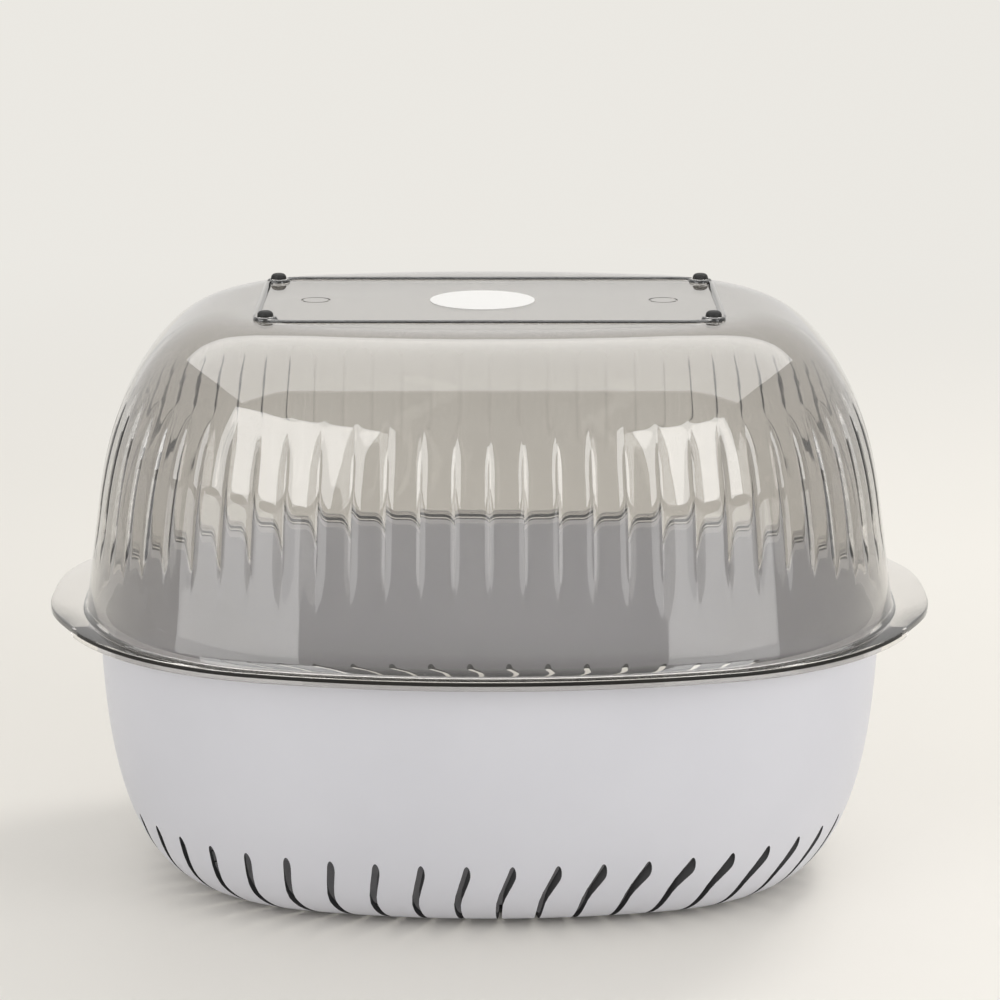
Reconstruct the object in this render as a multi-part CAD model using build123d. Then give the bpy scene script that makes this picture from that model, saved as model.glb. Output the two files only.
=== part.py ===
"""Lidded draining bowl: a white bowl with a swirl of drain slots, and a fluted clear basin turned over it.

Millimetres, +Z up. The bowl stands on Z = 0 with its centre on the Z axis and its length along X.
"""

import math
import os

from build123d import *

# The bowl: its body at the rim plane, measured outside the wall
BOWL_LENGTH = 331.0
BOWL_DEPTH = 256.0
BOWL_HEIGHT = 116.0
BOWL_WALL = 2.2
BOWL_CORNER = 106.7
BOWL_END_SWEEP = 5.8
BOWL_SIDE_SWEEP = 28.4
BOWL_TIGHTENING = 0.964
BOWL_DRAFT = 0.033
BOWL_FLOOR_REACH = 44.0
BOWL_FLOOR_RISE = 108.0
BOWL_FLOOR_POWER = 2.6
BOWL_FOOT_HEIGHT = 1.5
BOWL_FOOT_WIDTH = 3.0
BOWL_FOOT_INSET = 9.0
BOWL_RIM_WIDTH = 5.2
BOWL_RIM_THICKNESS = 2.2

# The drain slots round the bowl's lower wall: each leans at first and then heads for the middle
SLOT_COUNT = 50
SLOT_WIDTH = 3.9
SLOT_BEVEL = 1.2
SLOT_TOP = 35.0
SLOT_LEAN = 4.5
SLOT_LEAN_RUN = 9.0
SLOT_REACH = 38.0
SLOT_END_LEAN = 1.5

# The cover: its wall where it meets the flange, measured outside
COVER_LENGTH = 342.0
COVER_DEPTH = 266.6
COVER_HEIGHT = 127.8
COVER_WALL = 2.4
COVER_CORNER = 108.6
COVER_END_SWEEP = 7.4
COVER_SIDE_SWEEP = 26.6
COVER_DRAFT = 0.14
COVER_SHOULDER_REACH = 51.0
COVER_SHOULDER_RISE = 82.0
COVER_SHOULDER_POWER = 2.4

# The flutes round the cover's wall, by height over the rim plane
FLUTE_COUNT = 72
FLUTE_DEPTH = 1.1
FLUTE_BOTTOM = 32.0
FLUTE_FULL_FROM = 50.0
FLUTE_FULL_TO = 92.0
FLUTE_TOP = 112.0

# The cover's flange, its lip and its ears
FLANGE_LENGTH = 366.0
FLANGE_DEPTH = 277.6
FLANGE_CORNER = 117.5
FLANGE_END_SWEEP = 5.8
FLANGE_SIDE_SWEEP = 30.8
FLANGE_THICKNESS = 2.2
LIP_THICKNESS = 2.0
LIP_DROP = 1.8
EAR_SPAN = 377.0
EAR_DEPTH = 124.0
EAR_CORNER = 38.0
EAR_BLEND = 18.0
EAR_LIP_GAP = 120.0

# The cover's base panel, which is uppermost here
RING_LENGTH = 194.0
RING_DEPTH = 105.0
RING_CORNER = 16.0
RING_WIDTH = 3.0
RING_HEIGHT = 1.6
GATE_SPACING = 146.0
GATE_DIAMETER = 12.4
GATE_GROOVE = 0.8
GATE_GROOVE_DEPTH = 0.3

# The four feet and their collars
FOOT_SPACING_X = 182.6
FOOT_SPACING_Y = 88.6
FOOT_DIAMETER = 6.6
FOOT_STAND = 1.8
FOOT_BEVEL = 0.9
FOOT_SINK = 2.0
FOOT_CLEARANCE = 0.15
COLLAR_WALL = 1.9
COLLAR_HEIGHT = 0.4

# The paper label on the base
LABEL_DIAMETER = 44.0
LABEL_THICKNESS = 0.2
LABEL_SHIFT = -3.0

# Directions of the levels down a rounded corner, and how far cutters run past what they cut
BOWL_LEVELS = (0, 18, 34, 49, 62, 76, 90)
COVER_LEVELS = (0, 13, 27, 40, 53, 66, 78, 90)
OVERCUT = 1.0


class Outline:
    """A closed line of eight arcs that run smoothly into each other: four corners, two ends, two sides."""

    def __init__(self, length, depth, corner_radius, end_sweep, side_sweep, tightening=1.0):
        self.sizes = length, depth, corner_radius, end_sweep, side_sweep, tightening
        half_x, half_y = length / 2, depth / 2
        corner = min(corner_radius, 0.9 * half_y, 0.9 * half_x)
        end_turn, side_turn = math.radians(end_sweep / 2), math.radians(side_sweep / 2)
        spare_x, spare_y = half_x - corner, half_y - corner
        fall_x, fall_y = 1 - math.cos(end_turn), 1 - math.cos(side_turn)
        scale = math.sin(end_turn) * math.sin(side_turn) - fall_x * fall_y
        end = corner + (spare_y * math.sin(side_turn) - spare_x * fall_y) / scale
        side = corner + (spare_x * math.sin(end_turn) - spare_y * fall_x) / scale
        corner_x = spare_x - (end - corner) * fall_x
        corner_y = spare_y - (side - corner) * fall_y
        quarter = math.pi / 2
        corner_sweep = quarter - end_turn - side_turn
        self.arcs = [
            ((corner_x, corner_y), corner, end_turn, corner_sweep),
            ((0, half_y - side), side, quarter - side_turn, 2 * side_turn),
            ((-corner_x, corner_y), corner, quarter + side_turn, corner_sweep),
            ((end - half_x, 0), end, 2 * quarter - end_turn, 2 * end_turn),
            ((-corner_x, -corner_y), corner, 2 * quarter + end_turn, corner_sweep),
            ((0, side - half_y), side, 3 * quarter - side_turn, 2 * side_turn),
            ((corner_x, -corner_y), corner, 3 * quarter + side_turn, corner_sweep),
            ((half_x - end, 0), end, -end_turn, 2 * end_turn),
        ]

    def moved_in(self, inset):
        """The outline one inset further in: a plain offset, unless its corners tighten more slowly."""
        length, depth, corner_radius, end_sweep, side_sweep, tightening = self.sizes
        corner_radius -= tightening * inset
        return Outline(length - 2 * inset, depth - 2 * inset, corner_radius, end_sweep, side_sweep, tightening)

    def wire(self, inset, height):
        """The outline one inset further in, at a height."""
        inner = self.moved_in(inset)
        edges = []
        for arc, (_, _, start, sweep) in enumerate(inner.arcs):
            ends = [inner.point(arc, turn, height) for turn in (start, start + sweep / 2, start + sweep)]
            edges.append(Edge.make_three_point_arc(*ends))
        return Wire(edges)

    def face(self, inset, height=0.0):
        """The flat face inside that line."""
        return Face(self.wire(inset, height))

    def point(self, arc, turn, height=0.0):
        """The point of one arc that faces a direction."""
        (x, y), radius, _, _ = self.arcs[arc]
        return Vector(x + radius * math.cos(turn), y + radius * math.sin(turn), height)

    def stations(self, count):
        """Places that share the outline evenly from its right end on, as (arc, direction outward)."""
        lengths = [radius * sweep for _, radius, _, sweep in self.arcs]
        places = []
        for i in range(count):
            run = (sum(lengths) * i / count - lengths[-1] / 2) % sum(lengths)
            arc = 0
            while run > lengths[arc]:
                run -= lengths[arc]
                arc += 1
            _, radius, start, _ = self.arcs[arc]
            places.append((arc, start + run / radius))
        return places


def corner_profile(height, draft, reach, rise, power, directions):
    """A drafted wall with a rounded corner, as (inset, distance from the open end) pairs."""
    straight = height - rise
    profile = [(0.0, 0.0)]
    for degrees in directions:
        turn = math.radians(degrees)
        inset = reach * (1 - max(0.0, math.cos(turn)) ** (2 / power))
        run = straight + rise * math.sin(turn) ** (2 / power)
        profile.append((draft * run + inset, run))
    return profile


def offset_profile(profile, wall):
    """The same profile one wall thickness inside, along its normals."""
    inside = []
    last = len(profile) - 1
    for i, (inset, run) in enumerate(profile):
        before, after = profile[max(0, i - 1)], profile[min(last, i + 1)]
        slope_inset, slope_run = after[0] - before[0], after[1] - before[1]
        size = math.hypot(slope_inset, slope_run)
        if i == last:
            slope_inset, slope_run, size = 1.0, 0.0, 1.0
        inside.append((inset + wall * slope_run / size, run - wall * slope_inset / size))
    return inside


def inset_at(profile, run):
    """The profile's inset at a distance from its open end."""
    for (inset0, run0), (inset1, run1) in zip(profile, profile[1:]):
        if run0 <= run <= run1:
            return inset0 + (inset1 - inset0) * (run - run0) / (run1 - run0)
    return profile[-1][0]


def stacked(outline, levels):
    """A solid with straight wall rows between the outline's (inset, height) levels."""
    return Solid.make_loft([outline.wire(inset, height) for inset, height in levels], ruled=True)


def ring(outline, inset, width, height):
    """An upright ring along the outline, standing on the XY plane."""
    return extrude(outline.face(inset) - outline.face(inset + width), height, dir=(0, 0, 1))


def beside(x, y, turn, along, aside):
    """The point that lies along a direction and aside of it."""
    ahead_x, ahead_y = math.cos(turn), math.sin(turn)
    return x + along * ahead_x - aside * ahead_y, y + along * ahead_y + aside * ahead_x


def slot_plan():
    """One slot from above: bevelled at its tip, bent once, and heading along +X."""
    half = SLOT_WIDTH / 2
    first = math.atan2(SLOT_LEAN, SLOT_LEAN_RUN)
    second = math.atan2(SLOT_END_LEAN - SLOT_LEAN, SLOT_REACH - SLOT_LEAN_RUN)
    bend_half = half / math.cos((first - second) / 2)
    sides = []
    for side in (1, -1):
        sides.append(
            [
                beside(0, 0, first, 0, side * (half - SLOT_BEVEL)),
                beside(0, 0, first, SLOT_BEVEL, side * half),
                beside(SLOT_LEAN_RUN, SLOT_LEAN, (first + second) / 2, 0, side * bend_half),
                beside(SLOT_REACH, SLOT_END_LEAN, second, 0, side * half),
            ]
        )
    return Polygon(*sides[0], *reversed(sides[1]), align=None)


def make_slots(outline, profile):
    """The upright cutters of the drain slots, all alike but for their place on the outline."""
    outline = outline.moved_in(inset_at(profile, BOWL_HEIGHT - BOWL_FOOT_HEIGHT - SLOT_TOP))
    cutter = extrude(slot_plan(), BOWL_HEIGHT / 2 + OVERCUT, dir=(0, 0, 1))
    cutters = []
    for arc, turn in outline.stations(SLOT_COUNT):
        tip = outline.point(arc, turn)
        to_middle = math.degrees(math.atan2(-tip.Y, -tip.X))
        cutters.append(Pos(tip.X, tip.Y, -OVERCUT) * Rot(0, 0, to_middle) * cutter)
    return cutters


def make_bowl():
    """The white draining bowl."""
    outline = Outline(
        BOWL_LENGTH, BOWL_DEPTH, BOWL_CORNER, BOWL_END_SWEEP, BOWL_SIDE_SWEEP, BOWL_TIGHTENING
    )
    depth = BOWL_HEIGHT - BOWL_FOOT_HEIGHT
    profile = corner_profile(
        depth, BOWL_DRAFT, BOWL_FLOOR_REACH, BOWL_FLOOR_RISE, BOWL_FLOOR_POWER, BOWL_LEVELS
    )
    inside = offset_profile(profile, BOWL_WALL)
    inside = [(inside[0][0], -OVERCUT), (inside[0][0], 0.0), *inside[1:]]
    body = stacked(outline, [(inset, BOWL_HEIGHT - run) for inset, run in profile])
    hollow = stacked(outline, [(inset, BOWL_HEIGHT - run) for inset, run in inside])
    rim = extrude(outline.face(-BOWL_RIM_WIDTH), BOWL_RIM_THICKNESS, dir=(0, 0, 1))
    body += Pos(0, 0, BOWL_HEIGHT - BOWL_RIM_THICKNESS) * rim
    body += ring(outline, profile[-1][0] + BOWL_FOOT_INSET, BOWL_FOOT_WIDTH, BOWL_FOOT_HEIGHT + BOWL_WALL / 2)
    return body - hollow - make_slots(outline, profile)


def flute_depth_at(height):
    """How deep the valleys between the flutes are at a height over the rim plane."""
    up = (height - FLUTE_BOTTOM) / (FLUTE_FULL_FROM - FLUTE_BOTTOM)
    down = (FLUTE_TOP - height) / (FLUTE_TOP - FLUTE_FULL_TO)
    share = max(0.0, min(1.0, up, down))
    return FLUTE_DEPTH * share * share * (3 - 2 * share)


def fluted_wire(outline, places, inset, valley, height):
    """The outline one inset further in, as shallow arcs that meet in valleys."""
    crests, valleys = outline.moved_in(inset), outline.moved_in(inset + valley)
    points = []
    for i, (arc, turn) in enumerate(places):
        line = valleys if i % 2 == 0 else crests
        points.append(line.point(arc, turn, height))
    edges = []
    for i in range(0, len(points), 2):
        ends = points[i], points[i + 1], points[(i + 2) % len(points)]
        edges.append(Edge.make_three_point_arc(*ends))
    return Wire(edges)


def make_cover_wall(outline, profile):
    """The outside of the cover's wall, shoulder and panel, with its flutes."""
    levels = sorted([*profile, (inset_at(profile, FLUTE_BOTTOM), FLUTE_BOTTOM)], key=lambda level: level[1])
    places = outline.stations(2 * FLUTE_COUNT)
    wires = []
    for inset, run in levels:
        wires.append(fluted_wire(outline, places, inset, flute_depth_at(run), BOWL_HEIGHT + run))
    return Solid.make_loft(wires, ruled=True)


def make_flange():
    """The cover's flat flange with its two ears, and the lip that hangs from its edge."""
    outline = Outline(FLANGE_LENGTH, FLANGE_DEPTH, FLANGE_CORNER, FLANGE_END_SWEEP, FLANGE_SIDE_SWEEP)
    ear = RectangleRounded(EAR_SPAN, EAR_DEPTH, min(EAR_CORNER, EAR_DEPTH / 2 - OVERCUT))
    plate = Sketch() + outline.face(0) + ear
    ear_flat = EAR_DEPTH / 2 - EAR_CORNER + OVERCUT
    meetings = [v for v in plate.vertices() if ear_flat < abs(v.Y) < EAR_DEPTH / 2]
    if meetings:
        plate = fillet(meetings, EAR_BLEND)
    flange = extrude(Pos(0, 0, BOWL_HEIGHT) * plate, FLANGE_THICKNESS)
    lip = Pos(0, 0, BOWL_HEIGHT - LIP_DROP) * ring(outline, 0, LIP_THICKNESS, LIP_DROP + FLANGE_THICKNESS / 2)
    gap = Pos(0, 0, BOWL_HEIGHT) * Box(EAR_SPAN, EAR_LIP_GAP, 2 * LIP_DROP)
    return flange + (lip - gap)


def base_ring(foot, top):
    """The raised rounded rectangle on the base panel."""
    outer = RectangleRounded(RING_LENGTH, RING_DEPTH, RING_CORNER)
    inside_length, inside_depth = RING_LENGTH - 2 * RING_WIDTH, RING_DEPTH - 2 * RING_WIDTH
    inner = RectangleRounded(inside_length, inside_depth, RING_CORNER - RING_WIDTH)
    return extrude(Pos(0, 0, foot) * (outer - inner), top - foot)


def foot_places():
    """The four feet's names and centres on the base."""
    places = {}
    for side_y, word_y in ((-1, "front"), (1, "back")):
        for side_x, word_x in ((-1, "left"), (1, "right")):
            name = f"foot_{word_y}_{word_x}"
            places[name] = (side_x * FOOT_SPACING_X / 2, side_y * FOOT_SPACING_Y / 2)
    return places


def make_cover():
    """The clear fluted basin that stands upside down on the bowl."""
    outline = Outline(COVER_LENGTH, COVER_DEPTH, COVER_CORNER, COVER_END_SWEEP, COVER_SIDE_SWEEP)
    profile = corner_profile(
        COVER_HEIGHT, COVER_DRAFT, COVER_SHOULDER_REACH, COVER_SHOULDER_RISE, COVER_SHOULDER_POWER, COVER_LEVELS
    )
    inside = offset_profile(profile, COVER_WALL)
    inside = [(inside[0][0], -OVERCUT), (inside[0][0], 0.0), *inside[1:]]
    hollow = stacked(outline, [(inset, BOWL_HEIGHT + run) for inset, run in inside])
    panel = BOWL_HEIGHT + COVER_HEIGHT
    collar_top = panel + RING_HEIGHT + COLLAR_HEIGHT
    middle = panel - COVER_WALL / 2
    cover = make_cover_wall(outline, profile) + make_flange() - hollow
    cover += base_ring(middle, panel + RING_HEIGHT)
    recess_radius = FOOT_DIAMETER / 2 + FOOT_CLEARANCE
    for x, y in foot_places().values():
        cover += Pos(x, y, middle) * extrude(Circle(recess_radius + COLLAR_WALL), collar_top - middle)
        cover -= Pos(x, y, collar_top - FOOT_SINK) * extrude(Circle(recess_radius), FOOT_SINK + OVERCUT)
    mark = Circle(GATE_DIAMETER / 2) - Circle(GATE_DIAMETER / 2 - GATE_GROOVE)
    for side in (-1, 1):
        place = Pos(side * GATE_SPACING / 2, 0, panel - GATE_GROOVE_DEPTH)
        cover -= place * extrude(mark, GATE_GROOVE_DEPTH + OVERCUT)
    return cover


def make_foot(x, y):
    """One bevelled stud, seated on the floor of its collar."""
    seat = BOWL_HEIGHT + COVER_HEIGHT + RING_HEIGHT + COLLAR_HEIGHT - FOOT_SINK
    stud = extrude(Circle(FOOT_DIAMETER / 2), FOOT_SINK + FOOT_STAND)
    return Pos(x, y, seat) * chamfer(stud.edges().group_by(Axis.Z)[-1], FOOT_BEVEL)


def make_label():
    """The round paper label on the base, kept bare."""
    panel = BOWL_HEIGHT + COVER_HEIGHT
    return Pos(LABEL_SHIFT, 0, panel) * extrude(Circle(LABEL_DIAMETER / 2), LABEL_THICKNESS)


def main():
    os.makedirs("parts", exist_ok=True)
    parts = {"drain_bowl": make_bowl(), "clear_cover": make_cover(), "base_label": make_label()}
    for name, (x, y) in foot_places().items():
        parts[name] = make_foot(x, y)
    for name, part in parts.items():
        export_step(part, f"parts/{name}.step")


main()
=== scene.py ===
"""Looks of the lidded draining bowl, in metres, on the CAD frame."""

import math

import bmesh
import bpy
import numpy as np
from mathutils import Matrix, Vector

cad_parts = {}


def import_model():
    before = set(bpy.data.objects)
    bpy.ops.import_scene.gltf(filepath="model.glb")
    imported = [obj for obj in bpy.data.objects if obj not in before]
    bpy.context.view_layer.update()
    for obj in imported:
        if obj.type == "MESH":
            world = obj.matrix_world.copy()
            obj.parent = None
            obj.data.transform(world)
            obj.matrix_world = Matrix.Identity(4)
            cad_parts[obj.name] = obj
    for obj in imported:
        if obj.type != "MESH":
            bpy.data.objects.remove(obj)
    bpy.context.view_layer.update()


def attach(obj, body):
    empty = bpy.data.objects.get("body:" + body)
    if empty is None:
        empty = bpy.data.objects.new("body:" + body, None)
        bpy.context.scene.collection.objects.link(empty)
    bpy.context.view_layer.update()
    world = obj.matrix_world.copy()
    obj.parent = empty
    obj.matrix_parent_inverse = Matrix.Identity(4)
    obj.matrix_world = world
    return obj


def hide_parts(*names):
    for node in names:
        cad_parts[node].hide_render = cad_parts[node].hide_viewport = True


MM = 0.001

# The bowl, as in the CAD model
BOWL_LENGTH = 331.0 * MM
BOWL_DEPTH = 256.0 * MM
BOWL_HEIGHT = 116.0 * MM
BOWL_WALL = 2.2 * MM
BOWL_CORNER = 106.7 * MM
BOWL_END_SWEEP = 5.8
BOWL_SIDE_SWEEP = 28.4
BOWL_TIGHTENING = 0.964
BOWL_DRAFT = 0.033
BOWL_FLOOR_REACH = 44.0 * MM
BOWL_FLOOR_RISE = 108.0 * MM
BOWL_FLOOR_POWER = 2.6
BOWL_FOOT_HEIGHT = 1.5 * MM
BOWL_FOOT_WIDTH = 3.0 * MM
BOWL_FOOT_INSET = 9.0 * MM
BOWL_RIM_WIDTH = 5.2 * MM
BOWL_RIM_THICKNESS = 2.2 * MM
BOWL_RIM_ROUND = 0.6 * MM
WHITE_LOW = (0.61, 0.615, 0.665, 1)
WHITE_HIGH = (0.64, 0.645, 0.695, 1)

# The drain slots, and the heights between which the painted shade on the inside fades into the white
# plastic
SLOT_COUNT = 50
SLOT_WIDTH = 3.1 * MM
SLOT_TOP = 33.0 * MM
SLOT_LEAN = 4.5 * MM
SLOT_LEAN_RUN = 9.0 * MM
SLOT_REACH = 38.0 * MM
SLOT_END_LEAN = 1.5 * MM
SLOT_TAPER = 0.5
SHADE_BOTTOM = 8.0 * MM
SHADE_TOP = 70.0 * MM

# The cover and its flutes
COVER_LENGTH = 342.0 * MM
COVER_DEPTH = 266.6 * MM
COVER_HEIGHT = 127.8 * MM
COVER_WALL = 2.4 * MM
COVER_CORNER = 108.6 * MM
COVER_END_SWEEP = 7.4
COVER_SIDE_SWEEP = 26.6
COVER_DRAFT = 0.14
COVER_SHOULDER_REACH = 51.0 * MM
COVER_SHOULDER_RISE = 82.0 * MM
COVER_SHOULDER_POWER = 2.4
FLUTE_COUNT = 72
FLUTE_DEPTH = 1.1 * MM
FLUTE_POWER = 5
FLUTE_BOTTOM = 30.0 * MM
FLUTE_FULL_FROM = 41.0 * MM
FLUTE_FULL_TO = 80.0 * MM
FLUTE_TOP = 100.0 * MM
# How far a valley must face towards an end to get its painted dark refraction line
PAINTED_VALLEY_FROM = 0.72

# The flange, its ears and its lip
FLANGE_LENGTH = 366.0 * MM
FLANGE_DEPTH = 277.2 * MM
FLANGE_CORNER = 117.5 * MM
FLANGE_END_SWEEP = 5.8
FLANGE_SIDE_SWEEP = 30.8
FLANGE_THICKNESS = 2.2 * MM
EAR_SPAN = 372.8 * MM
EAR_DEPTH = 200.0 * MM
EAR_POWER = 2.8
EAR_SOFTNESS = 2.5 * MM
EAR_LIP_GAP = 120.0 * MM
LIP_THICKNESS = 2.0 * MM
LIP_DROP = 1.8 * MM
EDGE_ROUND = 0.35 * MM
# Where the flange's outer edge gets its painted dark refraction band
DARK_EDGE_FROM = 0.3 * MM
DARK_EDGE_BAND = 0.5 * MM
DARK_EDGE_MARGIN = 8.0 * MM
FLANGE_FILLET = 1.2 * MM
THIN_ZONE_WIDTH = 20.0 * MM

# The base panel
RING_LENGTH = 194.0 * MM
RING_DEPTH = 105.0 * MM
RING_CORNER = 16.0 * MM
RING_WIDTH = 3.0 * MM
RING_HEIGHT = 1.0 * MM
GATE_SPACING = 146.0 * MM
GATE_DIAMETER = 12.4 * MM
GATE_GROOVE = 0.8 * MM
GATE_DEPTH = 0.3 * MM
FOOT_SPACING_X = 182.6 * MM
FOOT_SPACING_Y = 88.6 * MM
FOOT_DIAMETER = 6.6 * MM
FOOT_STAND = 2.2 * MM
FOOT_SINK = 0.3 * MM
FOOT_CLEARANCE = 0.15 * MM
FOOT_ROUND = 1.8 * MM
COLLAR_WALL = 1.6 * MM
COLLAR_HEIGHT = 0.4 * MM
COLLAR_TOP_WALL = 0.5 * MM
LABEL_DIAMETER = 44.0 * MM
LABEL_THICKNESS = 0.2 * MM
LABEL_BEVEL = 0.2 * MM
LABEL_SHIFT = -3.0 * MM

# How fine the meshes are
PER_FLUTE = 12
VALLEY_CROWDING = 0.6
AROUND = PER_FLUTE * FLUTE_COUNT
ROWS = 56
HALVINGS = 30

# Places of the materials in the pieces' lists
# Painted shade on the bowl: its slot walls and its inside
SLOT_WALL_SHADE, INSIDE_SHADE = 1, 2
# Painted dark refraction on the cover: the flange's outer edge and the valleys at the ends
PAINTED_DARK_EDGE, THIN_SHEET, PAINTED_VALLEY = 1, 2, 3

# Name, place, width, height and power of the lamps that show only as reflections
WINDOWS = (
    ("left_window", (-1.02, -1.1, 0.95), 1.2, 0.95, 12),
    ("left_window_foot", (-1.24, -1.04, 0.22), 1.42, 0.42, 3.0),
    ("right_window", (0.98, -1.25, 0.95), 0.74, 0.9, 7.6),
    ("right_window_foot", (1.15, -1.23, 0.22), 1.12, 0.42, 2.4),
    ("overhead", (0, 0.3, 1.6), 3.2, 2.0, 30),
)

# The same for the lamps that light without showing
FILLS = (
    ("left_fill", (-1.0, -1.15, 0.8), 1.2, 0.9, 4.4),
    ("right_fill", (1.35, -0.85, 0.7), 0.9, 0.9, 7),
    ("back_key", (0.9, 0.9, 1.5), 0.5, 0.5, 10),
)
KEY_COLOUR = (1, 0.97, 0.93)
LAMP_TARGET = (0, 0, 0.17)
FLOOR_HALF = 6.0
GLOW_FROM = 0.3
GLOW_TO = 1.6
WORLD_LIGHT = 0.7
WORLD_SEEN = 0.84

# The camera
CAMERA_DISTANCE = 1.375
CAMERA_HEIGHT = 0.4941
CAMERA_PITCH = 13.766
CAMERA_LENS = 119.5
CAMERA_SHIFT = 0.0105


class Outline:
    """A closed line of eight arcs that run smoothly on: four corners, two ends and two sides."""

    def __init__(self, length, depth, corner, end_sweep, side_sweep, tightening=1.0):
        self.sizes = length, depth, corner, end_sweep, side_sweep, tightening
        half_x, half_y = length / 2, depth / 2
        end_turn, side_turn = math.radians(end_sweep / 2), math.radians(side_sweep / 2)
        spare_x, spare_y = half_x - corner, half_y - corner
        fall_x, fall_y = 1 - math.cos(end_turn), 1 - math.cos(side_turn)
        scale = math.sin(end_turn) * math.sin(side_turn) - fall_x * fall_y
        end = corner + (spare_y * math.sin(side_turn) - spare_x * fall_y) / scale
        side = corner + (spare_x * math.sin(end_turn) - spare_y * fall_x) / scale
        corner_x = spare_x - (end - corner) * fall_x
        corner_y = spare_y - (side - corner) * fall_y
        quarter = math.pi / 2
        corner_sweep = quarter - end_turn - side_turn
        self.arcs = [
            ((corner_x, corner_y), corner, end_turn, corner_sweep),
            ((0, half_y - side), side, quarter - side_turn, 2 * side_turn),
            ((-corner_x, corner_y), corner, quarter + side_turn, corner_sweep),
            ((end - half_x, 0), end, 2 * quarter - end_turn, 2 * end_turn),
            ((-corner_x, -corner_y), corner, 2 * quarter + end_turn, corner_sweep),
            ((0, side - half_y), side, 3 * quarter - side_turn, 2 * side_turn),
            ((corner_x, -corner_y), corner, 3 * quarter + side_turn, corner_sweep),
            ((half_x - end, 0), end, -end_turn, 2 * end_turn),
        ]

    def stations(self, shares):
        """Places at shares of the length from the right end on, as (arc, direction outward)."""
        lengths = [radius * sweep for _, radius, _, sweep in self.arcs]
        places = []
        for share in shares:
            run = (sum(lengths) * share - lengths[-1] / 2) % sum(lengths)
            arc = 0
            while run > lengths[arc]:
                run -= lengths[arc]
                arc += 1
            _, radius, start, _ = self.arcs[arc]
            places.append((arc, start + run / radius))
        return places

    def loop(self, places, inset):
        """The outline one inset further in, at the given places, as an array of x and y."""
        length, depth, corner, end_sweep, side_sweep, tightening = self.sizes
        corner -= tightening * inset
        inner = Outline(length - 2 * inset, depth - 2 * inset, corner, end_sweep, side_sweep)
        points = []
        for arc, turn in places:
            (x, y), radius, _, _ = inner.arcs[arc]
            points.append((x + radius * math.cos(turn), y + radius * math.sin(turn)))
        return np.array(points)

    def depth_inside(self, points):
        """How far inside the outline each point lies, negative outside."""
        depth = np.full(len(points), np.inf)
        for (x, y), radius, start, sweep in self.arcs:
            away = points - np.array([x, y])
            turn = (np.arctan2(away[:, 1], away[:, 0]) - start) % (2 * math.pi)
            here = (turn <= sweep + 1e-6) | (turn >= 2 * math.pi - 1e-6)
            inside = radius - np.linalg.norm(away, axis=1)
            depth = np.where(here, np.minimum(depth, inside), depth)
        return depth


def even_shares(count):
    """Shares of a whole at even steps."""
    return [i / count for i in range(count)]


def flute_shares():
    """Shares of the whole outline, closest together at the valleys between the flutes."""
    shares = []
    for flute in range(FLUTE_COUNT):
        for i in range(PER_FLUTE):
            across = 2 * i / PER_FLUTE - 1
            across = math.copysign(abs(across) ** VALLEY_CROWDING, across)
            shares.append((flute + 0.5 + across / 2) / FLUTE_COUNT)
    return shares


def corner_inset(run, height, draft, reach, rise, power):
    """The inset of a drafted wall with a rounded corner, at a distance from its open end."""
    share = max(0.0, min(1.0, (run - (height - rise)) / rise))
    return draft * run + reach * (1 - (1 - share**power) ** (1 / power))


def corner_profile(height, draft, reach, rise, power, count):
    """The same wall as (inset, distance from the open end) pairs, finest where it bends most."""
    straight = height - rise
    profile = []
    for i in range(8):
        run = straight * i / 8
        profile.append((draft * run, run))
    for i in range(count + 1):
        turn = math.pi / 2 * i / count
        inset = reach * (1 - max(0.0, math.cos(turn)) ** (2 / power))
        run = straight + rise * math.sin(turn) ** (2 / power)
        profile.append((draft * run + inset, run))
    return profile


def offset_profile(profile, wall):
    """The same profile one wall thickness inside, along its normals."""
    inside = []
    last = len(profile) - 1
    for i, (inset, run) in enumerate(profile):
        before, after = profile[max(0, i - 1)], profile[min(last, i + 1)]
        slope_inset, slope_run = after[0] - before[0], after[1] - before[1]
        size = math.hypot(slope_inset, slope_run)
        if i == last:
            slope_inset, slope_run, size = 1.0, 0.0, 1.0
        inside.append((inset + wall * slope_run / size, run - wall * slope_inset / size))
    return inside


def loose(name, data):
    """A new object in the scene."""
    piece = bpy.data.objects.new(name, data)
    bpy.context.scene.collection.objects.link(piece)
    return piece


def link(mesh, name, body):
    """A new object of a mesh, riding on a body."""
    piece = loose(name, mesh)
    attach(piece, body)
    return piece


def closed_shell(loops, joined=False):
    """A closed surface through loops of equally many points, capped flat or joined end to end."""
    count = len(loops[0])
    vertices = [tuple(point) for loop in loops for point in loop]
    faces = []
    for row in range(len(loops) if joined else len(loops) - 1):
        low, high = row * count, (row + 1) % len(loops) * count
        for i in range(count):
            j = (i + 1) % count
            faces.append((low + i, low + j, high + j, high + i))
    if not joined:
        faces.append(tuple(reversed(range(count))))
        faces.append(tuple((len(loops) - 1) * count + i for i in range(count)))
    mesh = bpy.data.meshes.new("shell")
    mesh.from_pydata(vertices, [], faces)
    tidy = bmesh.new()
    tidy.from_mesh(mesh)
    bmesh.ops.recalc_face_normals(tidy, faces=tidy.faces)
    tidy.to_mesh(mesh)
    tidy.free()
    return mesh


def at_height(points, height):
    """Flat points lifted to a height."""
    return np.column_stack([points, np.full(len(points), height)])


def smooth_by_angle(piece, degrees):
    """Shades the piece smooth except over sharp edges."""
    mesh = piece.data
    mesh.polygons.foreach_set("use_smooth", [True] * len(mesh.polygons))
    mesh.set_sharp_from_angle(angle=math.radians(degrees))


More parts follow.
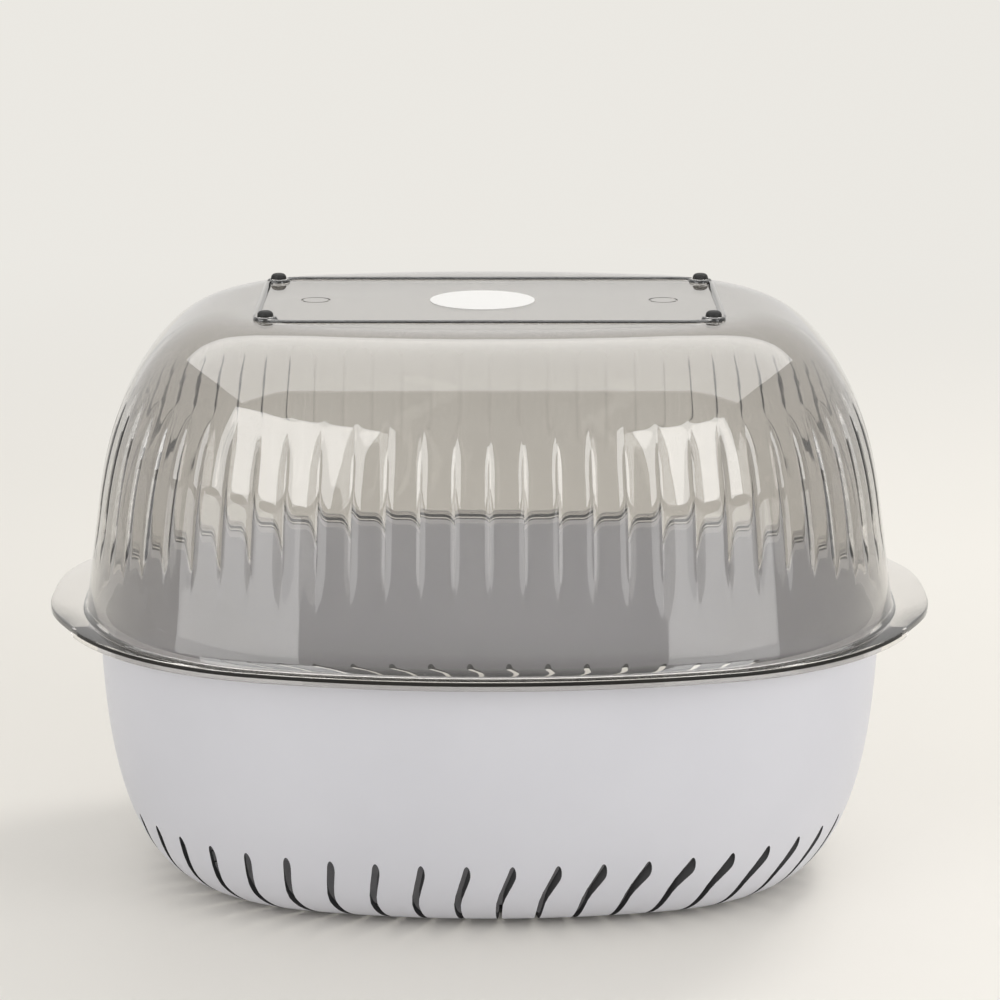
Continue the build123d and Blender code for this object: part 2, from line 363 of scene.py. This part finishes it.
def cut(piece, cutter, operation):
    """Joins a cutter to the piece or takes it away, and leaves only the result."""
    modifier = piece.modifiers.new("cut", "BOOLEAN")
    modifier.operation = operation
    modifier.object = cutter
    modifier.solver = "EXACT"
    depsgraph = bpy.context.evaluated_depsgraph_get()
    result = bpy.data.meshes.new_from_object(piece.evaluated_get(depsgraph))
    piece.modifiers.clear()
    piece.data = result
    bpy.data.objects.remove(cutter)


def prisms(name, plans):
    """Upright prisms from (points, bottom, top) plans, in one loose object."""
    mesh = bpy.data.meshes.new(name)
    build = bmesh.new()
    for points, bottom, top in plans:
        low = [build.verts.new((x, y, bottom)) for x, y in points]
        high = [build.verts.new((x, y, top)) for x, y in points]
        build.faces.new(list(reversed(low)))
        build.faces.new(high)
        for i in range(len(points)):
            j = (i + 1) % len(points)
            build.faces.new((low[i], low[j], high[j], high[i]))
    bmesh.ops.recalc_face_normals(build, faces=build.faces)
    build.to_mesh(mesh)
    build.free()
    return loose(name, mesh)


def circle(x, y, radius, count=48):
    """Points round a circle."""
    turns = [2 * math.pi * i / count for i in range(count)]
    return [(x + radius * math.cos(turn), y + radius * math.sin(turn)) for turn in turns]


def rounded_rectangle(length, depth, corner, steps=10):
    """Points round a rectangle with round corners."""
    points = []
    for quarter, (side_x, side_y) in enumerate(((1, 1), (-1, 1), (-1, -1), (1, -1))):
        for i in range(steps + 1):
            turn = math.pi / 2 * (quarter + i / steps)
            x = side_x * (length / 2 - corner) + corner * math.cos(turn)
            y = side_y * (depth / 2 - corner) + corner * math.sin(turn)
            points.append((x, y))
    return points


def slot_middle(run):
    """How far aside a slot's middle line lies at a run from its tip."""
    if run < SLOT_LEAN_RUN:
        return SLOT_LEAN * math.sin(math.pi / 2 * run / SLOT_LEAN_RUN)
    share = (run - SLOT_LEAN_RUN) / (SLOT_REACH - SLOT_LEAN_RUN)
    return SLOT_LEAN + (SLOT_END_LEAN - SLOT_LEAN) * share * share * (3 - 2 * share)


def slot_outline():
    """One slot from above: round at its tip, curved, and narrowing towards the bowl's middle."""
    half = SLOT_WIDTH / 2
    first = math.atan2(SLOT_LEAN, SLOT_LEAN_RUN) * 1.2
    round_end, left, right = [], [], []
    for i in range(1, 12):
        turn = first + math.pi / 2 + math.pi * i / 12
        round_end.append((half + half * math.cos(turn), half * math.sin(turn)))
    for i in range(15):
        run = SLOT_REACH * i / 14
        ahead = run + 0.1 * MM
        turn = math.atan2(slot_middle(ahead) - slot_middle(run), ahead - run)
        wide = half * (1 - SLOT_TAPER * i / 14)
        x, y = run + half, slot_middle(run)
        left.append((x - wide * math.sin(turn), y + wide * math.cos(turn)))
        right.append((x + wide * math.sin(turn), y - wide * math.cos(turn)))
    return round_end + right + list(reversed(left))


def make_bowl():
    """The white bowl with its slots."""
    outline = Outline(
        BOWL_LENGTH, BOWL_DEPTH, BOWL_CORNER, BOWL_END_SWEEP, BOWL_SIDE_SWEEP, BOWL_TIGHTENING
    )
    places = outline.stations(even_shares(AROUND // 2))
    depth = BOWL_HEIGHT - BOWL_FOOT_HEIGHT
    wall = depth, BOWL_DRAFT, BOWL_FLOOR_REACH, BOWL_FLOOR_RISE, BOWL_FLOOR_POWER
    outside = corner_profile(*wall, ROWS)
    inside = offset_profile(outside, BOWL_WALL)
    floor = outside[-1][0]
    foot = floor + BOWL_FOOT_INSET
    rim_low = BOWL_RIM_THICKNESS
    soft = BOWL_RIM_ROUND
    levels = [
        (foot + BOWL_FOOT_WIDTH, depth),
        (foot + BOWL_FOOT_WIDTH, BOWL_HEIGHT),
        (foot, BOWL_HEIGHT),
        (foot, depth),
    ]
    levels += [(inset, run) for inset, run in reversed(outside) if run > rim_low]
    levels += [(BOWL_DRAFT * rim_low, rim_low), (soft - BOWL_RIM_WIDTH, rim_low)]
    levels += [(-BOWL_RIM_WIDTH, rim_low - soft), (-BOWL_RIM_WIDTH, soft), (soft - BOWL_RIM_WIDTH, 0.0)]
    levels += [(inset, run) for inset, run in inside if run >= 0.0]
    levels.append((foot + BOWL_FOOT_WIDTH, inside[-1][1]))
    loops = [at_height(outline.loop(places, inset), BOWL_HEIGHT - run) for inset, run in levels]
    bowl = link(closed_shell(loops), "white_bowl", "bowl")
    tip_inset = corner_inset(depth - SLOT_TOP, *wall)
    plan = slot_outline()
    plans = []
    tips = outline.loop(outline.stations(even_shares(SLOT_COUNT)), tip_inset)
    for x, y in tips:
        size = math.hypot(x, y)
        ahead_x, ahead_y = -x / size, -y / size
        points = [(x + u * ahead_x - v * ahead_y, y + u * ahead_y + v * ahead_x) for u, v in plan]
        plans.append((points, -10 * MM, BOWL_HEIGHT / 2))
    cut(bowl, prisms("slot_cutter", plans), "DIFFERENCE")
    smooth_by_angle(bowl, 35)
    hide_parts("drain_bowl")
    return bowl


def flute_depth_at(height):
    """How deep the valleys between the flutes are at a height over the rim plane."""
    up = (height - FLUTE_BOTTOM) / (FLUTE_FULL_FROM - FLUTE_BOTTOM)
    down = (FLUTE_TOP - height) / (FLUTE_TOP - FLUTE_FULL_TO)
    share = max(0.0, min(1.0, up, down))
    return FLUTE_DEPTH * share * share * (3 - 2 * share)


def to_edge(outline, start, outward):
    """How far the flange reaches from the wall along its normals, over the ears too."""
    half = np.array([EAR_SPAN / 2, EAR_DEPTH / 2])

    def ear_depth(points):
        return 1 - (np.abs(points / half) ** EAR_POWER).sum(axis=1)

    reaches = []
    for depth_at in (outline.depth_inside, ear_depth):
        low, high = np.full(len(start), -20 * MM), np.full(len(start), 60 * MM)
        for _ in range(HALVINGS):
            middle = (low + high) / 2
            inside = depth_at(start + outward * middle[:, None]) > 0
            low, high = np.where(inside, middle, low), np.where(inside, high, middle)
        reaches.append(low)
    flange, ear = reaches
    blend = np.clip(0.5 + 0.5 * (ear - flange) / EAR_SOFTNESS, 0, 1)
    return flange * (1 - blend) + ear * blend + EAR_SOFTNESS * blend * (1 - blend)


def make_cover(materials):
    """The clear fluted cover with its flange, ears, base ring and collars."""
    outline = Outline(COVER_LENGTH, COVER_DEPTH, COVER_CORNER, COVER_END_SWEEP, COVER_SIDE_SWEEP)
    shares = np.array(flute_shares())
    places = outline.stations(shares)
    wall = COVER_HEIGHT, COVER_DRAFT, COVER_SHOULDER_REACH, COVER_SHOULDER_RISE, COVER_SHOULDER_POWER
    outside = corner_profile(*wall, ROWS)
    inside = offset_profile(outside, COVER_WALL)
    turns = np.array([turn for _, turn in places])
    outward = np.column_stack([np.cos(turns), np.sin(turns)])
    hollowing = np.abs(2 * (shares * FLUTE_COUNT % 1) - 1) ** FLUTE_POWER
    foot = outline.loop(places, 0.0)
    flange = Outline(FLANGE_LENGTH, FLANGE_DEPTH, FLANGE_CORNER, FLANGE_END_SWEEP, FLANGE_SIDE_SWEEP)
    reach = to_edge(flange, foot, outward)
    edge = foot + outward * reach[:, None]
    lip_share = np.clip((np.abs(edge[:, 1]) - EAR_LIP_GAP / 2) / (2 * MM), 0.01, 1)
    lip_low = BOWL_HEIGHT - LIP_DROP * lip_share

    def flange_loop(back, height):
        flat = foot + outward * (reach - back)[:, None]
        return np.column_stack([flat, np.broadcast_to(height, len(flat))])

    top = BOWL_HEIGHT + FLANGE_THICKNESS
    loops = []
    for inset, run in reversed(inside):
        loops.append(at_height(outline.loop(places, inset), BOWL_HEIGHT + max(run, 0.0)))
    loops.append(flange_loop(LIP_THICKNESS, BOWL_HEIGHT))
    loops.append(flange_loop(LIP_THICKNESS - EDGE_ROUND / 2, lip_low))
    loops.append(flange_loop(EDGE_ROUND, lip_low))
    loops.append(flange_loop(0.0, lip_low + EDGE_ROUND * lip_share))
    loops.append(flange_loop(0.0, BOWL_HEIGHT + DARK_EDGE_FROM))
    loops.append(flange_loop(0.0, top - EDGE_ROUND))
    loops.append(flange_loop(EDGE_ROUND * 0.3, top - EDGE_ROUND * 0.3))
    loops.append(flange_loop(EDGE_ROUND, top))
    for i in range(4):
        turn = math.pi / 2 * i / 4
        out = FLANGE_FILLET * (1 - math.sin(turn))
        loops.append(at_height(foot + outward * out, top + FLANGE_FILLET * (1 - math.cos(turn))))
    painted_valley_faces = []
    for inset, run in outside:
        if run > FLANGE_THICKNESS + FLANGE_FILLET:
            flat = outline.loop(places, inset) - outward * (flute_depth_at(run) * hollowing)[:, None]
            # Valleys that face the ends take a nearly black material: painted dark refraction lines at
            # the flute cusps
            if FLUTE_FULL_FROM < run < FLUTE_FULL_TO:
                first = len(loops) * AROUND
                for flute in range(FLUTE_COUNT):
                    valley = flute * PER_FLUTE
                    if abs(outward[valley][0]) > PAINTED_VALLEY_FROM:
                        painted_valley_faces += [first + valley, first + (valley - 1) % AROUND]
            loops.append(at_height(flat, BOWL_HEIGHT + run))
    cover = link(closed_shell(loops), "fluted_cover", "cover")
    set_material(cover, *materials)
    for face in painted_valley_faces:
        cover.data.polygons[face].material_index = PAINTED_VALLEY
    add_base_details(cover)
    smooth_by_angle(cover, 25)
    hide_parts("clear_cover")
    return cover


def feet_places():
    """The four feet's centres."""
    return [(x * FOOT_SPACING_X / 2, y * FOOT_SPACING_Y / 2) for x in (-1, 1) for y in (-1, 1)]


def add_base_details(cover):
    """The raised ring, the collars with their recesses and the two gate marks."""
    panel = BOWL_HEIGHT + COVER_HEIGHT
    middle = panel - COVER_WALL / 2
    collar_top = panel + RING_HEIGHT + COLLAR_HEIGHT
    loops = []
    for i in range(13):
        turn = math.pi * i / 12
        inset = RING_WIDTH / 2 * (1 - math.cos(turn))
        length, depth = RING_LENGTH - 2 * inset, RING_DEPTH - 2 * inset
        flat = np.array(rounded_rectangle(length, depth, RING_CORNER - inset))
        loops.append(at_height(flat, middle if i in (0, 12) else panel + RING_HEIGHT * math.sin(turn)))
    cut(cover, loose("ring", closed_shell(loops, joined=True)), "UNION")
    radius = FOOT_DIAMETER / 2 + FOOT_CLEARANCE
    for x, y in feet_places():
        loops = [at_height(np.array(circle(x, y, radius + COLLAR_WALL)), middle)]
        for i in range(9):
            turn = math.pi / 2 * i / 8
            wide = radius + COLLAR_TOP_WALL + (COLLAR_WALL - COLLAR_TOP_WALL) * math.cos(turn)
            height = panel + (collar_top - panel) * math.sin(turn)
            loops.append(at_height(np.array(circle(x, y, wide)), height))
        cut(cover, loose("collar", closed_shell(loops)), "UNION")
    seat, above = collar_top - FOOT_SINK, collar_top + MM
    recesses = [(circle(x, y, radius), seat, above) for x, y in feet_places()]
    cut(cover, prisms("recesses", recesses), "DIFFERENCE")
    for side in (-1, 1):
        x = side * GATE_SPACING / 2
        wide = GATE_DIAMETER / 2
        mark = prisms("gate", [(circle(x, 0, wide), panel - GATE_DEPTH, panel + MM)])
        heart = prisms("heart", [(circle(x, 0, wide - GATE_GROOVE), panel - MM, panel + 2 * MM)])
        cut(mark, heart, "DIFFERENCE")
        cut(cover, mark, "DIFFERENCE")


def turned(name, x, y, foot, profile, body, count=64):
    """A round piece from (radius, height) pairs, closed at both ends."""
    loops = []
    for radius, height in profile:
        loops.append(at_height(np.array(circle(x, y, radius, count)), foot + height))
    return link(closed_shell(loops), name, body)


def make_feet():
    """The four black round-topped feet."""
    seat = BOWL_HEIGHT + COVER_HEIGHT + RING_HEIGHT + COLLAR_HEIGHT - FOOT_SINK
    radius, height = FOOT_DIAMETER / 2, FOOT_SINK + FOOT_STAND
    profile = [(radius, 0.0), (radius, height - FOOT_ROUND)]
    for i in range(1, 9):
        turn = math.pi / 2 * i / 8
        drop = FOOT_ROUND * (1 - math.sin(turn))
        profile.append((radius - FOOT_ROUND * (1 - math.cos(turn)), height - drop))
    feet = []
    for x, y in feet_places():
        word = ("front" if y < 0 else "back") + "_" + ("left" if x < 0 else "right")
        foot = turned(f"stud_{word}", x, y, seat, profile, "cover")
        smooth_by_angle(foot, 50)
        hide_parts(f"foot_{word}")
        feet.append(foot)
    return feet


def make_label():
    """The bare round paper label."""
    radius = LABEL_DIAMETER / 2
    panel = BOWL_HEIGHT + COVER_HEIGHT
    rim = radius, 0.7 * LABEL_THICKNESS
    profile = [(radius, 0.0), rim, (radius - LABEL_BEVEL, LABEL_THICKNESS)]
    label = turned("bare_label", LABEL_SHIFT, 0, panel, profile, "cover", 128)
    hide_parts("base_label")
    return label


def new_material(name):
    """A node material, its nodes and links, and its main shader."""
    material = bpy.data.materials.new(name)
    material.use_nodes = True
    nodes, links = material.node_tree.nodes, material.node_tree.links
    return material, nodes, links, nodes["Principled BSDF"]


def noise(nodes, links, scale, detail=3.0):
    """A noise pattern in the object's own coordinates."""
    place = nodes.new("ShaderNodeTexCoord")
    pattern = nodes.new("ShaderNodeTexNoise")
    pattern.inputs["Scale"].default_value = scale
    pattern.inputs["Detail"].default_value = detail
    links.new(place.outputs["Object"], pattern.inputs["Vector"])
    return pattern


def ramp(nodes, links, source, low, high):
    """A pattern turned into a range of numbers or colours."""
    blend = nodes.new("ShaderNodeValToRGB")
    for stop, value in zip(blend.color_ramp.elements, (low, high)):
        stop.color = value if isinstance(value, tuple) else (value, value, value, 1)
    blend.color_ramp.elements[0].position = 0.3
    blend.color_ramp.elements[1].position = 0.7
    links.new(source, blend.inputs["Fac"])
    return blend.outputs["Color"]


def largest(nodes, links, outputs):
    """The largest of several numbers."""
    result = outputs[0]
    for other in outputs[1:]:
        either = nodes.new("ShaderNodeMath")
        either.operation = "MAXIMUM"
        links.new(result, either.inputs[0])
        links.new(other, either.inputs[1])
        result = either.outputs["Value"]
    return result


def mixed_surface(material, share, first, second):
    """Gives the material a mix of two shaders by a share."""
    nodes, links = material.node_tree.nodes, material.node_tree.links
    mix = nodes.new("ShaderNodeMixShader")
    links.new(share, mix.inputs["Fac"])
    links.new(first, mix.inputs[1])
    links.new(second, mix.inputs[2])
    links.new(mix.outputs["Shader"], nodes["Material Output"].inputs["Surface"])


def bump(nodes, links, source, shader, strength, distance):
    """A fine relief from a pattern."""
    relief = nodes.new("ShaderNodeBump")
    relief.inputs["Strength"].default_value = strength
    relief.inputs["Distance"].default_value = distance
    links.new(source, relief.inputs["Height"])
    links.new(relief.outputs["Normal"], shader.inputs["Normal"])


def white_plastic():
    """Cool white moulded plastic with a soft gloss."""
    material, nodes, links, shader = new_material("white_plastic_look")
    cloud = noise(nodes, links, 14)
    tone = ramp(nodes, links, cloud.outputs["Fac"], WHITE_LOW, WHITE_HIGH)
    links.new(tone, shader.inputs["Base Color"])
    fine = noise(nodes, links, 900)
    links.new(ramp(nodes, links, fine.outputs["Fac"], 0.34, 0.42), shader.inputs["Roughness"])
    bump(nodes, links, fine.outputs["Fac"], shader, 0.08, 0.00005)
    return material


def painted_shade_plastic(name, darkness, top):
    """The white plastic with painted shade, standing in for where little light reaches it, darkest low
    down.
    """
    material, nodes, links, shader = new_material(name)
    cloud = noise(nodes, links, 20)
    darkest = (darkness, darkness, 1.08 * darkness, 1)
    dark = (1.3 * darkness, 1.3 * darkness, 1.4 * darkness, 1)
    low = ramp(nodes, links, cloud.outputs["Fac"], darkest, dark)
    high = ramp(nodes, links, cloud.outputs["Fac"], WHITE_LOW, WHITE_HIGH)
    place = nodes.new("ShaderNodeSeparateXYZ")
    links.new(cloud.inputs["Vector"].links[0].from_socket, place.inputs["Vector"])
    rise = nodes.new("ShaderNodeMapRange")
    rise.interpolation_type = "SMOOTHSTEP"
    rise.inputs["From Min"].default_value = SHADE_BOTTOM
    rise.inputs["From Max"].default_value = top
    links.new(place.outputs["Z"], rise.inputs["Value"])
    blend = nodes.new("ShaderNodeMix")
    blend.data_type = "RGBA"
    links.new(rise.outputs["Result"], blend.inputs["Factor"])
    links.new(low, blend.inputs["A"])
    links.new(high, blend.inputs["B"])
    links.new(blend.outputs["Result"], shader.inputs["Base Color"])
    fine = noise(nodes, links, 900)
    links.new(ramp(nodes, links, fine.outputs["Fac"], 0.5, 0.6), shader.inputs["Roughness"])
    shader.inputs["Specular IOR Level"].default_value = 0.2
    bump(nodes, links, fine.outputs["Fac"], shader, 0.08, 0.00005)
    return material


def paint_slot_shade(bowl):
    """Puts the painted shade on the slots' upright walls and on the inside."""
    for face in bowl.data.polygons:
        centre, normal = face.center, face.normal
        if BOWL_FOOT_HEIGHT < centre.z < BOWL_HEIGHT - BOWL_RIM_THICKNESS:
            inward = -(normal.x * centre.x + normal.y * centre.y)
            if abs(normal.z) < 0.02 and centre.z < BOWL_HEIGHT / 2:
                face.material_index = SLOT_WALL_SHADE
            elif normal.z > 0.1 or inward > 0:
                face.material_index = INSIDE_SHADE


def smoky_plastic(name, low, high, deepening):
    """Clear plastic with a grey-brown smoke tint, deeper where it is seen slantwise."""
    material, nodes, links, shader = new_material(name)
    cloud = noise(nodes, links, 9)
    tint = ramp(nodes, links, cloud.outputs["Fac"], low, high)
    slant = nodes.new("ShaderNodeLayerWeight")
    slant.inputs["Blend"].default_value = 0.5
    deepen = nodes.new("ShaderNodeMix")
    deepen.data_type = "RGBA"
    deepen.blend_type = "MULTIPLY"
    deepen.inputs["B"].default_value = (deepening, 0.96 * deepening, 0.92 * deepening, 1)
    links.new(slant.outputs["Facing"], deepen.inputs["Factor"])
    links.new(tint, deepen.inputs["A"])
    links.new(deepen.outputs["Result"], shader.inputs["Base Color"])
    fine = noise(nodes, links, 260)
    links.new(ramp(nodes, links, fine.outputs["Fac"], 0.01, 0.03), shader.inputs["Roughness"])
    shader.inputs["Transmission Weight"].default_value = 1.0
    shader.inputs["IOR"].default_value = 1.5
    shader.inputs["Coat Weight"].default_value = 0.6
    shader.inputs["Coat Roughness"].default_value = 0.02
    bump(nodes, links, cloud.outputs["Fac"], shader, 0.05, 0.0002)
    path = nodes.new("ShaderNodeLightPath")
    clear = nodes.new("ShaderNodeBsdfTransparent")
    clear.inputs["Color"].default_value = (0.56, 0.55, 0.53, 1)
    shadow = path.outputs["Is Shadow Ray"]
    mixed_surface(material, shadow, shader.outputs["BSDF"], clear.outputs["BSDF"])
    return material


def painted_dark_edge():
    """The same plastic made nearly black: painted dark refraction, standing in for the edge-on look of
    thick clear plastic.
    """
    material, nodes, links, shader = new_material("painted_dark_refraction_edge_look")
    cloud = noise(nodes, links, 30)
    low, high = (0.006, 0.006, 0.005, 1), (0.014, 0.013, 0.011, 1)
    links.new(ramp(nodes, links, cloud.outputs["Fac"], low, high), shader.inputs["Base Color"])
    links.new(ramp(nodes, links, cloud.outputs["Fac"], 0.3, 0.4), shader.inputs["Roughness"])
    shader.inputs["Specular IOR Level"].default_value = 0.2
    bump(nodes, links, cloud.outputs["Fac"], shader, 0.05, 0.0001)
    return material


def foot_rubber():
    """Black moulded rubber with a dull sheen."""
    material, nodes, links, shader = new_material("foot_rubber_look")
    grain = noise(nodes, links, 2200)
    low, high = (0.012, 0.012, 0.012, 1), (0.03, 0.03, 0.029, 1)
    links.new(ramp(nodes, links, grain.outputs["Fac"], low, high), shader.inputs["Base Color"])
    links.new(ramp(nodes, links, grain.outputs["Fac"], 0.42, 0.58), shader.inputs["Roughness"])
    shader.inputs["Specular IOR Level"].default_value = 0.2
    bump(nodes, links, grain.outputs["Fac"], shader, 0.2, 0.00005)
    return material


def label_paper():
    """Bare coated paper."""
    material, nodes, links, shader = new_material("label_paper_look")
    fibre = noise(nodes, links, 1500, 6.0)
    low, high = (0.80, 0.80, 0.79, 1), (0.88, 0.88, 0.87, 1)
    links.new(ramp(nodes, links, fibre.outputs["Fac"], low, high), shader.inputs["Base Color"])
    links.new(ramp(nodes, links, fibre.outputs["Fac"], 0.45, 0.6), shader.inputs["Roughness"])
    bump(nodes, links, fibre.outputs["Fac"], shader, 0.15, 0.00005)
    return material


def floor_paint():
    """The pale floor, which grows evenly bright away from the object."""
    material, nodes, links, shader = new_material("pale_floor")
    cloud = noise(nodes, links, 2.2, 2.0)
    low, high = (0.82, 0.80, 0.755, 1), (0.84, 0.82, 0.775, 1)
    links.new(ramp(nodes, links, cloud.outputs["Fac"], low, high), shader.inputs["Base Color"])
    shader.inputs["Roughness"].default_value = 0.5
    place = nodes.new("ShaderNodeTexCoord")
    away = nodes.new("ShaderNodeVectorMath")
    away.operation = "LENGTH"
    links.new(place.outputs["Object"], away.inputs[0])
    far = nodes.new("ShaderNodeMapRange")
    far.interpolation_type = "SMOOTHSTEP"
    far.inputs["From Min"].default_value = GLOW_FROM
    far.inputs["From Max"].default_value = GLOW_TO
    links.new(away.outputs["Value"], far.inputs["Value"])
    path = nodes.new("ShaderNodeLightPath")
    rays = ("Is Camera Ray", "Is Glossy Ray", "Is Transmission Ray")
    seen = largest(nodes, links, [path.outputs[ray] for ray in rays])
    share = nodes.new("ShaderNodeMath")
    share.operation = "MULTIPLY"
    links.new(seen, share.inputs[0])
    links.new(far.outputs["Result"], share.inputs[1])
    glow = nodes.new("ShaderNodeEmission")
    glow.inputs["Color"].default_value = (0.83, 0.81, 0.765, 1)
    mixed_surface(material, share.outputs["Value"], shader.outputs["BSDF"], glow.outputs["Emission"])
    return material


def set_material(piece, *materials):
    """Gives the piece its materials."""
    piece.data.materials.clear()
    for material in materials:
        piece.data.materials.append(material)


def tint_ears_paint_edge_refraction(cover):
    """Gives the ears the lighter tint of a thin sheet, and paints the flange's outer edge nearly black
    as painted dark refraction.
    """
    low, high = BOWL_HEIGHT + DARK_EDGE_FROM, BOWL_HEIGHT + FLANGE_THICKNESS - EDGE_ROUND
    outline = Outline(FLANGE_LENGTH, FLANGE_DEPTH, FLANGE_CORNER, FLANGE_END_SWEEP, FLANGE_SIDE_SWEEP)
    thin_from = COVER_LENGTH / 2 - THIN_ZONE_WIDTH
    thin_below = BOWL_HEIGHT + FLANGE_THICKNESS + MM
    for face in cover.data.polygons:
        centre = face.center
        if centre.z < thin_below and abs(centre.x) > thin_from:
            face.material_index = THIN_SHEET
        upright = abs(face.normal.z) < 0.2 and low < centre.z < high
        if upright and abs(centre.y) > EAR_LIP_GAP / 2 + DARK_EDGE_MARGIN:
            depth = outline.depth_inside(np.array([[centre.x, centre.y]]))[0]
            if depth < DARK_EDGE_BAND:
                face.material_index = PAINTED_DARK_EDGE


def add_lamp(name, place, width, height, power):
    """A soft rectangular lamp that faces the object."""
    data = bpy.data.lights.new(name, "AREA")
    data.shape = "RECTANGLE"
    data.size, data.size_y = width, height
    data.energy = power
    lamp = loose(name, data)
    lamp.location = place
    aim = Vector(LAMP_TARGET) - Vector(place)
    lamp.rotation_euler = aim.to_track_quat("-Z", "Y").to_euler()
    return lamp


def make_studio():
    """Floor, lamps and a pale world."""
    mesh = bpy.data.meshes.new("floor")
    corners = [(x * FLOOR_HALF, y * FLOOR_HALF, 0) for x, y in ((-1, -1), (1, -1), (1, 1), (-1, 1))]
    mesh.from_pydata(corners, [], [(0, 1, 2, 3)])
    floor = loose("floor", mesh)
    set_material(floor, floor_paint())
    for window in WINDOWS:
        lamp = add_lamp(*window)
        lamp.visible_diffuse = False
    for fill in FILLS:
        lamp = add_lamp(*fill)
        lamp.visible_glossy = False
        lamp.visible_transmission = False
        if lamp.name == "back_key":
            lamp.data.color = KEY_COLOUR
    world = bpy.data.worlds.new("world")
    bpy.context.scene.world = world
    world.use_nodes = True
    nodes, links = world.node_tree.nodes, world.node_tree.links
    background = nodes["Background"]
    background.inputs["Color"].default_value = (1.0, 0.985, 0.96, 1)
    path = nodes.new("ShaderNodeLightPath")
    level = nodes.new("ShaderNodeMapRange")
    level.inputs["To Min"].default_value = WORLD_LIGHT
    level.inputs["To Max"].default_value = WORLD_SEEN
    rays = ("Is Glossy Ray", "Is Camera Ray")
    seen = largest(nodes, links, [path.outputs[ray] for ray in rays])
    links.new(seen, level.inputs["Value"])
    links.new(level.outputs["Result"], background.inputs["Strength"])


def make_camera():
    """The camera at the photograph's viewing angle."""
    data = bpy.data.cameras.new("camera")
    data.sensor_width = 36
    data.lens = CAMERA_LENS
    data.shift_x = CAMERA_SHIFT
    camera = loose("camera", data)
    camera.location = (0, -CAMERA_DISTANCE, CAMERA_HEIGHT)
    camera.rotation_euler = (math.radians(90 - CAMERA_PITCH), 0, 0)
    bpy.context.scene.camera = camera


def main():
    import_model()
    make_camera()
    bowl = make_bowl()
    # Painted shade: near-black slot walls, and an inside that is darkest low down
    slot_wall = painted_shade_plastic("painted_shade_slot_wall_look", 0.03, 4 * SHADE_TOP)
    inside = painted_shade_plastic("painted_shade_bowl_inside_look", 0.09, SHADE_TOP)
    set_material(bowl, white_plastic(), slot_wall, inside)
    paint_slot_shade(bowl)
    wall = smoky_plastic("smoky_clear_look", (0.72, 0.705, 0.68, 1), (0.76, 0.745, 0.72, 1), 0.6)
    thin = smoky_plastic("smoky_flange_look", (0.88, 0.87, 0.85, 1), (0.92, 0.91, 0.89, 1), 0.9)
    # Painted dark refraction: a nearly black clear material for the valleys at the ends
    painted_valley_low, painted_valley_high = (0.05, 0.047, 0.043, 1), (0.07, 0.066, 0.06, 1)
    valley = smoky_plastic("painted_dark_refraction_valley_look", painted_valley_low, painted_valley_high, 0.8)
    cover = make_cover((wall, painted_dark_edge(), thin, valley))
    # Painted dark refraction on the flange's outer edge
    tint_ears_paint_edge_refraction(cover)
    rubber = foot_rubber()
    for foot in make_feet():
        set_material(foot, rubber)
    set_material(make_label(), label_paper())
    make_studio()
    bpy.context.scene.view_settings.view_transform = "Standard"


main()
